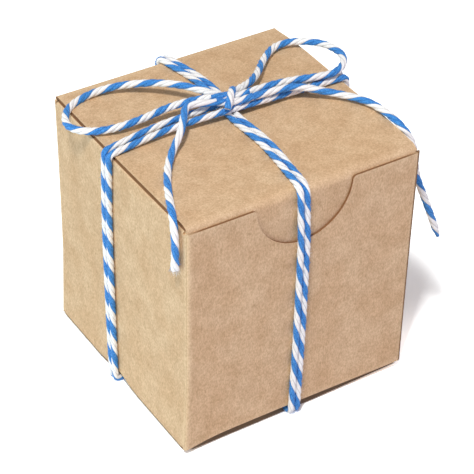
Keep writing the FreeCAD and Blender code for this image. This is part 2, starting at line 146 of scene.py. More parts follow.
# Where the tied carton departs from a true box: the lid is sprung up along its right edge
# between the hinge and the tuck, the hinge stands a little proud, the right panel leans out
# and the left one is drawn in. The left panel's foot is pushed down and out, except where
# the twine holds it up, and the front panel's lower edge sags to the right.
LID_SPRING = 0.95 * MM
HINGE_RISE = 0.65 * MM
RIGHT_LEAN = 0.9 * MM
LEFT_GIVE = 0.2 * MM
FOOT_DROP = 1.15 * MM
FOOT_SPLAY = 0.5 * MM
FRONT_DROP = 0.42 * MM
# how deep the front panel and the lid lie in the box: the board with a little to spare
FRONT_PANEL = 0.47 * MM
LID_PANEL = 0.49 * MM
# the lid's spring fades out this far in front of its middle and behind it
SPRING_REACH = 24 * MM
# where the foot's drop begins, going left, and where it is whole
FOOT_START, FOOT_END = -16 * MM, -25.2 * MM
# the twine on the left panel
LEFT_TWINE_Y = 1.5 * MM


def share(value, start, end):
    """0 at start and before it, 1 at end and past it."""
    return min(max((value - start) / (end - start), 0.0), 1.0)


def settle(point):
    """Where a point of the carton's outside lies once it is tied and stands."""
    x, y, z = point
    height = share(z, BOTTOM, LID)
    if y < FRONT_PANEL - SIDE:
        z -= FRONT_DROP * share(x, 0.0, SIDE) * share(height, 0.25, 0.0)
    if z > LID - LID_PANEL:
        arch = max(1 - (abs(y) / SPRING_REACH) ** 4, 0.0)
        z += LID_SPRING * share(x, 2 * MM, SIDE) * arch
    z += HINGE_RISE * share(y, 0.0, SIDE) * share(height, 0.85, 0.99)
    foot = share(x, FOOT_START, FOOT_END) ** 2 * share(height, 0.3, 0.0)
    z -= FOOT_DROP * foot * share(abs(y - LEFT_TWINE_Y), 1.2 * MM, 6 * MM)
    leaning = RIGHT_LEAN * (0.3 + 0.7 * height ** 2) * share(x, 12 * MM, SIDE)
    giving = LEFT_GIVE * math.sin(math.pi * height) * share(x, 0.0, -SIDE) * share(y, -SIDE, SIDE)
    return Vector((x + leaning + giving - FOOT_SPLAY * foot, y, z))


# Twine: routes

# Points of the bow in mm: X, Y and the height of the twine's centre over the lid.
LOOP_LEFT = [
    (-1.6, 7.7, 3.5),
    (-3.1, 9.9, 3.75),
    (-5.4, 12.9, 3.7),
    (-8.9, 16.6, 3.1),
    (-13.2, 19.7, 2.3),
    (-17.8, 21.4, 1.5),
    (-22.6, 21.1, 1.0),
    (-26.5, 18.8, 0.9),
    (-28.9, 13.7, 0.9),
    (-25.1, 9.1, 1.2),
    (-18.3, 7.3, 1.9),
    (-9.6, 7.6, 2.8),
    (-4.4, 6.2, 3.5),
    (-1.9, 4.8, 3.85),
]
LOOP_RIGHT = [
    (5.3, 5.6, 3.35),
    (7.6, 6.2, 3.15),
    (11.4, 9.0, 2.7),
    (15.5, 13.5, 2.2),
    (20.7, 17.3, 2.0),
    (25.3, 15.9, 2.5),
    (28.7, 11.3, 3.2),
    (29.4, 6.4, 3.6),
    (28.1, 2.9, 3.6),
    (24.7, 0.4, 3.5),
    (20.4, 1.0, 3.45),
    (15.0, 2.6, 3.55),
    (9.0, 3.0, 3.75),
    (5.4, 2.95, 3.75),
]
TAIL_LEFT = [
    (-1.9, 3.15, 3.7),
    (-4.3, 3.5, 4.1),
    (-6.2, 4.2, 4.2),
    (-8.0, 4.4, 4.05),
    (-9.8, 1.9, 3.7),
    (-12.2, -1.1, 2.7),
    (-15.2, -3.3, 1.4),
    (-18.6, -7.0, 0.85),
    (-21.3, -11.4, 0.85),
    (-23.6, -16.0, 0.85),
    (-25.3, -19.9, 1.0),
    (-26.6, -22.9, -0.6),
    (-26.7, -23.5, -4.9),
    (-26.8, -23.4, -9.1),
]
TAIL_RIGHT = [
    (5.3, 1.3, 3.65),
    (8.0, 1.15, 3.6),
    (11.2, 0.85, 3.6),
    (14.6, 0.15, 3.7),
    (18.0, -1.9, 2.85),
    (21.8, -4.7, 2.1),
    (25.0, -9.2, 2.1),
    (25.9, -14.3, 2.0),
    (26.4, -18.4, 1.3),
    (27.5, -20.8, -1.2),
    (28.6, -20.8, -5.0),
    (29.8, -19.8, -8.8),
    (30.7, -19.5, -12.2),
    (32.1, -20.2, -16.2),
    (33.9, -20.7, -21.2),
    (36.3, -20.9, -27.6),
]
# The strands that run through the knot: what each joins, its middle, and its turns.
KNOT_MIDDLES = [
    (LOOP_LEFT, (1.9, 4.9, 2.7), LOOP_RIGHT, (-1.1, 0.15, 0.0)),
    (LOOP_LEFT[::-1], (1.9, 3.2, 3.5), LOOP_RIGHT[::-1], (-1.1, 0.76, 0.0)),
    (TAIL_LEFT, (1.9, 1.4, 3.5), TAIL_RIGHT, (-1.1, 0.66, 0.0)),
]
# The turn of twine that binds them: up at the back, over the strands and down in front.
KNOT_BAND = [
    (4.2, 6.4, 0.9),
    (4.0, 6.4, 2.6),
    (3.0, 4.9, 4.1),
    (1.4, 2.9, 4.8),
    (0.0, 1.2, 4.5),
    (-0.9, 0.4, 3.4),
]


def over_lid(points):
    return [Vector((x * MM, y * MM, LID + z * MM)) for x, y, z in points]


def twine_path(name, points, closed=False):
    """Points close together along a smooth route that has these control points."""
    curve = bpy.data.curves.new(name, "CURVE")
    curve.dimensions = "3D"
    curve.resolution_u = 12
    spline = curve.splines.new("NURBS")
    spline.points.add(len(points) - 1)
    for control, point in zip(spline.points, points):
        control.co = (*point, 1.0)
    spline.order_u = 3
    spline.use_endpoint_u = not closed
    spline.use_cyclic_u = closed
    route = add_object(name, curve)
    line = bpy.data.meshes.new_from_object(route)
    path = [vertex.co.copy() for vertex in line.vertices]
    bpy.data.objects.remove(route)
    bpy.data.meshes.remove(line)
    return path


# Twine: the twisted strand

# A ply of the strand's section is a circle of its own: its radius and how far out its
# centre lies, both as shares of the strand's radius.
PLY_RADIUS = 0.6
PLY_CENTRE = 0.4
# how far before its cut end a strand begins to open or to narrow
OPENING = 2.6 * MM
# hairs per square metre of a frayed end
TUFT_DENSITY = 6.0e7


def add_twine_inputs(tree):
    """The strand's named inputs. Above 0, Slackening loosens the twist from start to end,
    below 0 it tightens it. Open End is how much wider the cut end gets, or narrower."""
    sockets = {
        "Line": ("NodeSocketGeometry", None),
        "Diameter": ("NodeSocketFloat", TWINE_TIGHT),
        "Turns": ("NodeSocketFloat", 10.0),
        "First Turn": ("NodeSocketFloat", 0.0),
        "Slackening": ("NodeSocketFloat", 0.0),
        "Step": ("NodeSocketFloat", 0.28 * MM),
        "Fibres per Square Metre": ("NodeSocketFloat", 2.6e6),
        "Fibre Length": ("NodeSocketFloat", 0.5 * MM),
        "Fibre Thickness": ("NodeSocketFloat", 0.024 * MM),
        "Open End": ("NodeSocketFloat", 0.0),
        "Tuft per Square Metre": ("NodeSocketFloat", 0.0),
        "Tuft Length": ("NodeSocketFloat", 1.1 * MM),
        "Material": ("NodeSocketMaterial", None),
    }
    for name, (kind, value) in sockets.items():
        socket = tree.interface.new_socket(name, in_out="INPUT", socket_type=kind)
        if value is not None:
            socket.default_value = value
    tree.interface.new_socket("Twine", in_out="OUTPUT", socket_type="NodeSocketGeometry")
    return add_node(tree, "NodeGroupInput").outputs


def ply_section(tree, diameter):
    """The strand's section: four plies that meet in grooves. It stores where on a turn of
    the strand each point lies, as the cosine and sine of its angle."""
    circle = add_node(tree, "GeometryNodeCurvePrimitiveCircle", {
        "Resolution": 32, "Radius": math_node(tree, "MULTIPLY", diameter, 0.5),
    })
    around = add_node(tree, "GeometryNodeSplineParameter")
    angle = math_node(tree, "MULTIPLY", around.outputs["Factor"], math.tau)
    from_groove = math_node(tree, "PINGPONG", angle, math.pi / 4)
    from_crown = math_node(tree, "SUBTRACT", math.pi / 4, from_groove)
    reach = math_node(tree, "MULTIPLY", math_node(tree, "COSINE", from_crown), PLY_CENTRE)
    across = math_node(tree, "MULTIPLY", math_node(tree, "SINE", from_crown), PLY_CENTRE)
    across_squared = math_node(tree, "MULTIPLY", across, across)
    chord = math_node(tree, "SUBTRACT", PLY_RADIUS * PLY_RADIUS, across_squared)
    swell = math_node(tree, "ADD", reach, math_node(tree, "SQRT", chord))
    place = add_node(tree, "GeometryNodeInputPosition")
    swollen = add_node(tree, "ShaderNodeVectorMath",
                       {0: place.outputs[0], "Scale": swell}, operation="SCALE")
    section = add_node(tree, "GeometryNodeSetPosition",
                       {"Geometry": circle.outputs[0], "Position": swollen.outputs[0]})
    for name, operation in (("ply_x", "COSINE"), ("ply_y", "SINE")):
        section = add_node(tree, "GeometryNodeStoreNamedAttribute", {
            "Geometry": section.outputs[0], "Name": name,
            "Value": math_node(tree, operation, angle),
        }, data_type="FLOAT", domain="POINT")
    return section.outputs[0]


def grow_hairs(tree, strand, selected, density, length, thickness, lean, seed):
    """Short bent hairs of uneven length, strewn over the selected faces. lean is how far
    they lie over, in radians."""
    roots = add_node(tree, "GeometryNodeDistributePointsOnFaces", {
        "Mesh": strand, "Selection": selected, "Density": density, "Seed": seed,
    }, distribute_method="RANDOM")
    spine = add_node(tree, "GeometryNodeCurveQuadraticBezier", {
        "Resolution": 3, "Start": (0.0, 0.0, -0.05), "Middle": (0.05, 0.1, 0.6),
        "End": (0.35, -0.1, 1.0),
    })
    scale = add_node(tree, "ShaderNodeCombineXYZ", {0: length, 1: length, 2: length})
    sized = add_node(tree, "GeometryNodeTransform",
                     {"Geometry": spine.outputs[0], "Scale": scale.outputs[0]})
    girth = add_node(tree, "GeometryNodeCurvePrimitiveCircle", {
        "Resolution": 3, "Radius": math_node(tree, "MULTIPLY", thickness, 0.5),
    })
    hair = add_node(tree, "GeometryNodeCurveToMesh",
                    {"Curve": sized.outputs[0], "Profile Curve": girth.outputs[0]})
    swing = add_node(tree, "FunctionNodeRandomValue", {
        "Min": (-lean, -lean, -math.pi), "Max": (lean, lean, math.pi), "Seed": seed + 1,
    }, data_type="FLOAT_VECTOR")
    turn = add_node(tree, "FunctionNodeEulerToRotation", {0: swing.outputs[0]})
    lie = add_node(tree, "FunctionNodeRotateRotation", {
        "Rotation": roots.outputs["Rotation"], "Rotate By": turn.outputs[0],
    }, rotation_space="LOCAL")
    size = add_node(tree, "FunctionNodeRandomValue",
                    {"Min": 0.35, "Max": 1.0, "Seed": seed + 2}, data_type="FLOAT")
    placed = add_node(tree, "GeometryNodeInstanceOnPoints", {
        "Points": roots.outputs["Points"], "Instance": hair.outputs[0],
        "Rotation": lie.outputs[0], "Scale": size.outputs["Value"],
    })
    return placed.outputs[0]


def make_twine_tree():
    """Geometry Nodes: a four-ply strand that follows the lines of a mesh, with loose fibres."""
    tree = bpy.data.node_groups.new("twisted twine", "GeometryNodeTree")
    given = add_twine_inputs(tree)
    line = add_node(tree, "GeometryNodeMeshToCurve", {0: given["Line"]})
    fine = add_node(tree, "GeometryNodeResampleCurve",
                    {"Curve": line.outputs[0], "Length": given["Step"]}, mode="LENGTH")
    along = add_node(tree, "GeometryNodeSplineParameter")
    part = along.outputs["Factor"]
    turned = math_node(tree, "MULTIPLY_ADD", part, given["Turns"], given["First Turn"])
    late = math_node(tree, "SUBTRACT", math_node(tree, "MULTIPLY", part, part), part)
    uneven = math_node(tree, "MULTIPLY_ADD", late, given["Slackening"], turned)
    tilted = add_node(tree, "GeometryNodeSetCurveTilt", {
        "Curve": fine.outputs[0], "Tilt": math_node(tree, "MULTIPLY", uneven, math.tau),
    })
    marked = add_node(tree, "GeometryNodeStoreNamedAttribute", {
        "Geometry": tilted.outputs[0], "Name": "along", "Value": along.outputs["Length"],
    }, data_type="FLOAT", domain="POINT")
    whole = add_node(tree, "GeometryNodeCurveLength", {"Curve": fine.outputs[0]}).outputs[0]
    to_end = math_node(tree, "SUBTRACT", whole, along.outputs["Length"])
    opened = ramp(tree, to_end, 0.0, OPENING, 1.0, 0.0)
    girth = math_node(tree, "MULTIPLY_ADD", opened, given["Open End"], 1.0)
    strand = add_node(tree, "GeometryNodeCurveToMesh", {
        "Curve": marked.outputs[0], "Profile Curve": ply_section(tree, given["Diameter"]),
        "Scale": girth, "Fill Caps": True,
    })
    smooth = add_node(tree, "GeometryNodeSetShadeSmooth", {"Geometry": strand.outputs[0]})

    # hairs grow thinly along the strand and thickly on an open end, the cap at its far end
    mark = add_node(tree, "GeometryNodeInputNamedAttribute", {"Name": "along"}, data_type="FLOAT")
    corners = add_node(tree, "GeometryNodeInputMeshFaceNeighbors").outputs["Vertex Count"]
    is_cap = math_node(tree, "GREATER_THAN", corners, 4.5)
    is_far = math_node(tree, "GREATER_THAN", mark.outputs[0],
                       math_node(tree, "MULTIPLY", whole, 0.9))
    is_open = math_node(tree, "MULTIPLY", is_cap, is_far)
    is_wall = math_node(tree, "SUBTRACT", 1.0, is_cap)
    kinds = (
        (is_wall, "Fibres per Square Metre", "Fibre Length", 1.25, 5),
        (is_open, "Tuft per Square Metre", "Tuft Length", 0.5, 9),
    )
    hairs = [
        grow_hairs(tree, smooth.outputs[0], selected, given[density], given[length],
                   given["Fibre Thickness"], lean, seed)
        for selected, density, length, lean, seed in kinds
    ]
    together = add_node(tree, "GeometryNodeJoinGeometry")
    for piece in (*reversed(hairs), smooth.outputs[0]):
        tree.links.new(piece, together.inputs[0])
    real = add_node(tree, "GeometryNodeRealizeInstances", {"Geometry": together.outputs[0]})
    painted = add_node(tree, "GeometryNodeSetMaterial",
                       {"Geometry": real.outputs[0], "Material": given["Material"]})
    add_node(tree, "NodeGroupOutput", {0: painted.outputs[0]})
    return tree


twine_tree = make_twine_tree()
twine_inputs = {item.name: item.identifier for item in twine_tree.interface.items_tree
                if item.in_out == "INPUT"}


def twist(name, path, diameter, turns, closed=False, open_end=None):
    """A strand of twine along a path, as a plain mesh. turns is how many there are, where
    they start and how much they slacken; open_end is how much wider the cut end gets."""
    line = bpy.data.meshes.new(name)
    count = len(path)
    edges = [(i, i + 1) for i in range(count - 1)]
    if closed:
        edges.append((count - 1, 0))
    line.from_pydata(path, edges, [])
    strand = add_object(name, line)
    nodes = strand.modifiers.new("twist", "NODES")
    nodes.node_group = twine_tree
    settings = {"Diameter": diameter, "Material": twine_material}
    settings.update(zip(("Turns", "First Turn", "Slackening"), map(float, turns)))
    if open_end is not None:
        settings.update({"Open End": open_end, "Tuft per Square Metre": TUFT_DENSITY})
    for setting, value in settings.items():
        nodes[twine_inputs[setting]] = value
    bpy.context.view_layer.update()
    evaluated = strand.evaluated_get(bpy.context.evaluated_depsgraph_get())
    mesh = bpy.data.meshes.new_from_object(evaluated)
    strand.modifiers.clear()
    strand.data = mesh
    bpy.data.meshes.remove(line)
    return strand


def join(name, strands):
    """Several strands as one piece."""
    mesh = strands[0].data
    shape = bmesh.new()
    for strand in strands:
        shape.from_mesh(strand.data)
    shape.to_mesh(mesh)
    shape.free()
    for strand in strands[1:]:
        bpy.data.objects.remove(strand)
    strands[0].name = mesh.name = name
    return strands[0]


# Materials


def new_material(name):
    material = bpy.data.materials.new(name)
    material.use_nodes = True
    tree = material.node_tree
    shader = next(node for node in tree.nodes if node.type == "BSDF_PRINCIPLED")
    return material, tree, shader


def make_twine_material():
    """Cotton baker's twine: two plies dyed blue and two left white. Matt, with fine fibres
    that run along each ply, and shade in the grooves between plies."""
    material, tree, shader = new_material("cotton baker's twine")

    def attribute(name):
        return add_node(tree, "ShaderNodeAttribute", attribute_name=name).outputs["Fac"]

    # bunches of fibres are 0.12 mm wide across a ply and 0.19 mm long
    ply_x, ply_y, along = attribute("ply_x"), attribute("ply_y"), attribute("along")
    around_and_along = add_node(tree, "ShaderNodeCombineXYZ", {
        0: ply_x, 1: ply_y, 2: math_node(tree, "MULTIPLY", along, 0.9 / MM),
    })
    fibres = add_node(tree, "ShaderNodeTexNoise", {
        "Vector": around_and_along.outputs[0], "Scale": 6.0, "Detail": 3.0, "Roughness": 0.6,
    }).outputs["Fac"]

    # one half of the strand is blue and the other white, with a ragged edge between them
    ragged = math_node(tree, "SUBTRACT", fibres, 0.5)
    edge = math_node(tree, "MULTIPLY_ADD", ragged, 0.35, ply_y)
    dyed = ramp(tree, edge, -0.07, 0.07)
    spread = ramp(tree, fibres, 0.36, 0.64, kind="LINEAR")
    blue = mix(tree, spread, linear("#125EB8"), linear("#5AA9EE"))
    white = mix(tree, spread, linear("#EEF1F3"), linear("#FEFEFE"))
    colour = mix(tree, dyed, white, blue)

    # the product of the two is 0 in a groove and a half on a ply's crown
    product = math_node(tree, "MULTIPLY", ply_x, ply_y)
    shade = ramp(tree, math_node(tree, "ABSOLUTE", product), 0.0, 0.26, 0.74, 1.0)
    colour = mix(tree, 1.0, colour, shade, "MULTIPLY")
    tree.links.new(colour, shader.inputs["Base Color"])
    shader.inputs["Roughness"].default_value = 0.9
    shader.inputs["Specular IOR Level"].default_value = 0.2
    shader.inputs["Sheen Weight"].default_value = 0.15
    shader.inputs["Sheen Roughness"].default_value = 0.5
    bump = add_node(tree, "ShaderNodeBump",
                    {"Height": fibres, "Strength": 0.5, "Distance": 0.06 * MM})
    tree.links.new(bump.outputs[0], shader.inputs["Normal"])
    return material


def mottle(tree, place):
    """The pressed fibres of the board: their pattern, and the board's colour from it."""

    def noise(per_mm, detail, roughness, upright=1.0):
        """Spots, so many to the millimetre; upright below 1 draws them out up the panels."""
        vector = add_node(tree, "ShaderNodeMapping",
                          {"Vector": place, "Scale": (1.0, 1.0, upright)})
        return add_node(tree, "ShaderNodeTexNoise", {
            "Vector": vector.outputs[0], "Scale": per_mm / MM, "Detail": detail,
            "Roughness": roughness,
        }).outputs["Fac"]

    # fibres 0.3 mm wide, clouds 3 mm and blotches 8 mm across, flecks 0.7 mm across
    fibres = noise(3.4, 3.0, 0.65, upright=0.55)
    clouds = noise(0.33, 3.0, 0.55)
    blotches = noise(0.12, 2.0, 0.5)
    flecks = noise(1.5, 2.0, 0.6, upright=0.5)
    colour = mix(tree, ramp(tree, fibres, 0.28, 0.72), linear("#CBAC88"), linear("#E7CBA7"))
    colour = mix(tree, ramp(tree, clouds, 0.3, 0.7), colour, linear("#F2EEEA"), "MULTIPLY")
    colour = mix(tree, ramp(tree, blotches, 0.35, 0.65), colour, linear("#FAF6F2"), "MULTIPLY")
    colour = mix(tree, ramp(tree, flecks, 0.62, 0.74, 0.0, 0.4), colour, linear("#A5815A"))
    colour = mix(tree, ramp(tree, flecks, 0.36, 0.26, 0.0, 0.25), colour, linear("#EBD6B4"))
    return fibres, colour


def make_board_material():
    """Uncoated kraft board: matt, brown and finely mottled by pressed fibres, with dark and pale
    flecks. Folds are rubbed paler and carry a painted highlight. Die-cut edges show the darker
    core, with painted shade of the gaps beside them, and the front right fold has painted shade
    along its outside."""
    material, tree, shader = new_material("uncoated kraft board")
    place = add_node(tree, "ShaderNodeAttribute", attribute_name="as_folded").outputs["Vector"]
    normal = add_node(tree, "ShaderNodeNewGeometry").outputs["Normal"]
    fibres, colour = mottle(tree, place)

    def both(one, other):
        return math_node(tree, "MULTIPLY", one, other)

    def either(one, other):
        return math_node(tree, "MAXIMUM", one, other)

    def below(value, limit):
        return math_node(tree, "LESS_THAN", value, limit)

    def above(value, limit):
        return math_node(tree, "GREATER_THAN", value, limit)

    # how far a point is from the planes of the four sides, the lid and the bottom
    x, y, z = (add_node(tree, "ShaderNodeSeparateXYZ", {0: place}).outputs[axis]
               for axis in range(3))
    from_middle = math_node(tree, "SUBTRACT", z, (LID + BOTTOM) / 2)
    from_sides, from_ends, from_lids = (
        math_node(tree, "SUBTRACT", half, math_node(tree, "ABSOLUTE", value))
        for half, value in ((SIDE, x), (SIDE, y), ((LID - BOTTOM) / 2, from_middle))
    )

    # the folds, rubbed paler and lit with a painted highlight: the four upright ones, those of
    # the lid and the bottom, and the edges where these lie on the side panels
    rub_and_highlight = ramp(tree, fibres, 0.25, 0.6, 0.35, 1.0)
    for one, other, wide in (
        (from_sides, from_ends, 1.5 * MM),
        (from_ends, from_lids, 2.2 * MM),
        (from_sides, from_lids, 1.1 * MM),
    ):
        fold = ramp(tree, math_node(tree, "ADD", one, other), wide, wide * 0.4, 0.0, 0.4)
        colour = mix(tree, both(fold, rub_and_highlight), colour, linear("#E6CDA8"))

    # die-cut edges show the darker core, and their colour also paints the shade of the gaps
    # beside them: the front panel's top, bottom and notch, and the lid's sides. Near the side
    # folds the front panel's are softer.
    facing = add_node(tree, "ShaderNodeSeparateXYZ", {0: normal})
    facing_x, facing_y = (math_node(tree, "ABSOLUTE", facing.outputs[axis]) for axis in (0, 1))
    in_front = below(y, 0.46 * MM - SIDE)
    below_lid = above(from_lids, 0.7 * MM)
    edge_of_front = both(below(facing_y, 0.5), ramp(tree, from_sides, 0.2 * MM, 3.5 * MM, 0.5))
    edge_of_front = both(edge_of_front, both(in_front, below_lid))
    edge_of_lid = both(above(facing_x, 0.7), below(from_lids, 0.48 * MM))
    # painted shade: the slit under the lid's sides is darkened as well, but not on the outside of
    # the front fold
    slit_shade = both(below(from_sides, 0.8 * MM),
                math_node(tree, "COMPARE", from_lids, 0.57 * MM, 0.13 * MM))
    slit_shade = both(slit_shade, either(above(from_ends, 1.35 * MM), above(facing_x, 0.7)))
    core_and_gap_shade = either(edge_of_front, either(edge_of_lid, slit_shade))
    colour = mix(tree, core_and_gap_shade, colour, linear("#886243"))

    # painted shade: the front right fold, turned away from the light, is darkened along its
    # outside
    right_fold_shade = both(ramp(tree, x, SIDE - 0.9 * MM, SIDE - 0.6 * MM, 0.0, 0.8),
                 below(y, 0.8 * MM - SIDE))
    colour = mix(tree, right_fold_shade, colour, linear("#6E4B2F"))
    tree.links.new(colour, shader.inputs["Base Color"])
    shader.inputs["Roughness"].default_value = 0.8
    shader.inputs["Specular IOR Level"].default_value = 0.25
    bump = add_node(tree, "ShaderNodeBump",
                    {"Height": fibres, "Strength": 0.35, "Distance": 0.05 * MM})
    tree.links.new(bump.outputs[0], shader.inputs["Normal"])
    return material


twine_material = make_twine_material()
board_material = make_board_material()


# Twine: the bow

LOOPS_AND_TAILS = {
    # node: route, where it ends, how it lies, turns, how much wider its cut end gets
    "bow_loop_left": (LOOP_LEFT, "object", "loose", (-10.1, 0.98, -1.0), None),
    "bow_loop_right": (LOOP_RIGHT, "object", "loose", (-9.55, 0.22, 1.2), None),
    "bow_tail_left": (TAIL_LEFT, "bare", "hanging", (-5.2, 0.15, -1.5), 0.2),
    "bow_tail_right": (TAIL_RIGHT, "bare", "hanging", (-8.0, 0.71, 0.6), -0.45),
}


def tie_bow():
    for name, (points, far_end, lay, turns, end) in LOOPS_AND_TAILS.items():
        route = over_lid(points)
        path = twine_path(name, route)
        piece = twist(name.replace("bow_", "twine_"), path, TWINE_SLACK, turns, open_end=end)
        hand_in(piece, name)


def tie_knot():
    """The strands run on straight for half their thickness where a loop or tail begins."""
    strands = []
    for one, middle, other, turns in KNOT_MIDDLES:
        ends = []
        for route in (one, other):
            exit_point, following = over_lid(route[:2])
            inward = (exit_point - following).normalized()
            ends.append([exit_point, exit_point + inward * TWINE_SLACK * 0.5])
        points = [*ends[0], *over_lid([middle]), *ends[1][::-1]]
        path = twine_path("knot strand", points)
        strands.append(twist("knot strand", path, TWINE_SLACK, turns))
    path = twine_path("knot band", over_lid(KNOT_BAND))
    strands.append(twist("knot band", path, TWINE_SLACK, (-1.7, 0.27, 0.0)))
    hand_in(join("twine_knot", strands), "bow_knot")


tie_bow()
tie_knot()


# Twine: the two pairs of strands round the carton

# from the board to the middle of a strand, how far one pair rises to step over the other,
# and half the distance between the two strands of a pair
REACH = TWINE_TIGHT / 2 + TWINE_GAP
STEP_OVER = TWINE_TIGHT + 2 * TWINE_GAP
SPACING = TWINE_TIGHT / 2 + 0.01 * MM
ON_LID = LID + REACH
UNDER = BOTTOM - REACH


def round_edge(before, corner, after, radius):
    """Control points for a bend of this radius where two straight stretches meet."""
    before, corner, after = Vector(before), Vector(corner), Vector(after)
    arriving, leaving = (before - corner).normalized(), (after - corner).normalized()
    half_turn = (math.pi - arriving.angle(leaving)) / 2
    reach = 2 * radius * math.tan(half_turn)
    return [corner + arriving * reach, corner, corner + leaving * reach]


def ring(corners):
    """The control points of a closed route. Each corner is X, Y, Z and a radius or None."""
    points = []
    for number, (*place, radius) in enumerate(corners):
        before = corners[number - 1][:3]
        after = corners[(number + 1) % len(corners)][:3]
        if radius:
            points += round_edge(before, place, after, radius)
        else:
            points.append(Vector(place))
    return [settle(point) for point in points]


def wind_front_back():
    """The pair over the lid, down the front through the notch, under and up the back."""
    # the middle of the pair at each place, in mm along X
    middles = {
        "front_top": -0.6, "lid_front": 1.5, "lid_middle": 0.6, "lid_back": 2.4,
        "back_top": -0.6, "back_bottom": -0.2, "front_bottom": -1.1, "front_low": -0.55,
        "notch": -0.4,
    }
    front, back = -(DEPTH + REACH), DEPTH + REACH
    # inside the notch the strands lie on the tuck, one board further in than the front panel,
    # and they come up to it in a wide bend
    tuck = -(DEPTH - 0.53 * MM + REACH)
    tuck_bend = 1.8 * MM + REACH
    hinge_bend = 0.8 * MM + REACH
    bottom_bend = 0.9 * MM + REACH
    notch_z, notch_bend = LID - 11.6 * MM, 42.8 * MM
    strands = []
    for side, turns in ((-1, (-29, 0.195, 1.5)), (1, (-28, 0.39, -2.1))):
        x = {place: middle * MM + SPACING * side for place, middle in middles.items()}
        corners = [
            (x["front_top"], tuck, ON_LID, tuck_bend),
            (x["lid_front"], -DEPTH * 0.37, ON_LID, None),
            (x["lid_middle"], DEPTH * 0.08, ON_LID, None),
            (x["lid_back"], DEPTH * 0.47, ON_LID, None),
            (x["back_top"], back, ON_LID, hinge_bend),
            (x["back_bottom"], back, UNDER, hinge_bend),
            (x["front_bottom"], front, UNDER, bottom_bend),
            (x["front_low"], front, BOTTOM + 20.1 * MM, None),
            (x["notch"], front, notch_z, notch_bend),
        ]
        path = twine_path("front back", ring(corners), closed=True)
        strands.append(twist("front back", path, TWINE_TIGHT, turns, closed=True))
    return strands


def wind_left_right():
    """The pair over the lid and the other pair, down both sides and under the bottom, where
    it bends into the bottom's hollow and crosses over the other pair once more."""
    # the middle of the pair at each place, and how far each strand lies off from it, both in
    # mm along Y
    middles = {
        "left_top": (2.7, 0.15), "lid_left": (3.9, 0.4), "knot_left": (2.75, 0.5),
        "knot_right": (2.7, 0.5), "lid_right": (2.25, 0.45), "right_top": (1.65, 0.35),
        "right_middle": (1.9, 0.1), "right_bottom": (1.0, 0.0), "hollow_right": (0.9, 0.0),
        "hollow_middle": (1.2, 0.0), "hollow_left": (1.3, 0.0), "left_bottom": (1.5, 0.0),
        "left_low": (3.0, 0.1), "left_high": (3.6, 0.15),
    }
    edge_bend = 0.5 * MM + REACH
    side_x = SIDE + REACH
    hollow_x = hollow_bend = 20.65 * MM
    # on the lid the pair climbs in a straight line to the strands that it crosses
    slope = STEP_OVER / (side_x - edge_bend)
    edge_z = ON_LID - edge_bend * slope
    mid_x = SIDE / 2
    mid_z = ON_LID + (side_x - mid_x - edge_bend) * slope
    # where it crosses the other pair, on the lid and under the bottom
    over_x, under_x = 0.9 * MM, -0.65 * MM
    height = LID - BOTTOM
    strands = []
    for side, turns in ((-1, (-32, 0.75, 0.4)), (1, (-28, 0.81, -3.8))):
        y = {place: middle * MM + (SPACING + apart * MM) * side
             for place, (middle, apart) in middles.items()}
        corners = [
            (-side_x, y["left_top"], edge_z, edge_bend),
            (-mid_x, y["lid_left"], mid_z, None),
            (over_x - SPACING, y["knot_left"], ON_LID + STEP_OVER, None),
            (over_x + SPACING, y["knot_right"], ON_LID + STEP_OVER, None),
            (mid_x, y["lid_right"], mid_z, None),
            (side_x, y["right_top"], edge_z, edge_bend),
            (side_x, y["right_middle"], BOTTOM + height * 0.5, None),
            (side_x, y["right_bottom"], UNDER, edge_bend),
            (hollow_x, y["hollow_right"], UNDER, hollow_bend),
            (under_x + SPACING, y["hollow_middle"], UNDER + STEP_OVER, None),
            (under_x - SPACING, y["hollow_middle"], UNDER + STEP_OVER, None),
            (-hollow_x, y["hollow_left"], UNDER, hollow_bend),
            (-side_x, y["left_bottom"], UNDER, edge_bend),
            (-side_x, y["left_low"], BOTTOM + height * 0.25, None),
            (-side_x, y["left_high"], BOTTOM + height * 0.7, None),
        ]
        path = twine_path("left right", ring(corners), closed=True)
        strands.append(twist("left right", path, TWINE_TIGHT, turns, closed=True))
    return strands


def wind_carton():
    for node, wind in (("wrap_front_back", wind_front_back),
                       ("wrap_left_right", wind_left_right)):
        piece = join(node.replace("wrap", "twine"), wind())
        # the strands are pressed flat where they bear on the table
        for vertex in piece.data.vertices:
            vertex.co.z = max(vertex.co.z, 0.0)
        hand_in(piece, node)


wind_carton()


# Carton

# how far apart the cuts are that let the panels bend, across and up the carton
CUT_SPACING = 3.0 * MM
CUT_SPACING_UP = 5.3 * MM
# the folds of the lid and the bottom at the front: their outer radius, how far they lie
# behind the front panel's face, and how far in from the sides their ends are filled
FRONT_FOLD = 1.78 * MM
FRONT_FOLD_BACK = 0.55 * MM
FRONT_FOLD_END = 0.9 * MM
SHARP_EDGE = math.radians(25)


def fill_fold_ends(shape):
    """The lid's and the bottom's front folds run on to the side panels."""
    fold_y = FRONT_FOLD_BACK - SIDE + FRONT_FOLD
    lying = Matrix.Rotation(math.pi / 2, 4, "Y")
    for side in (-1, 1):
        for level in (BOTTOM + FRONT_FOLD, LID - FRONT_FOLD):
            place = Matrix.Translation((side * (SIDE - FRONT_FOLD_END), fold_y, level))
            bmesh.ops.create_cone(
                shape, cap_ends=True, segments=48, radius1=FRONT_FOLD, radius2=FRONT_FOLD,
                depth=FRONT_FOLD_END, matrix=place @ lying)


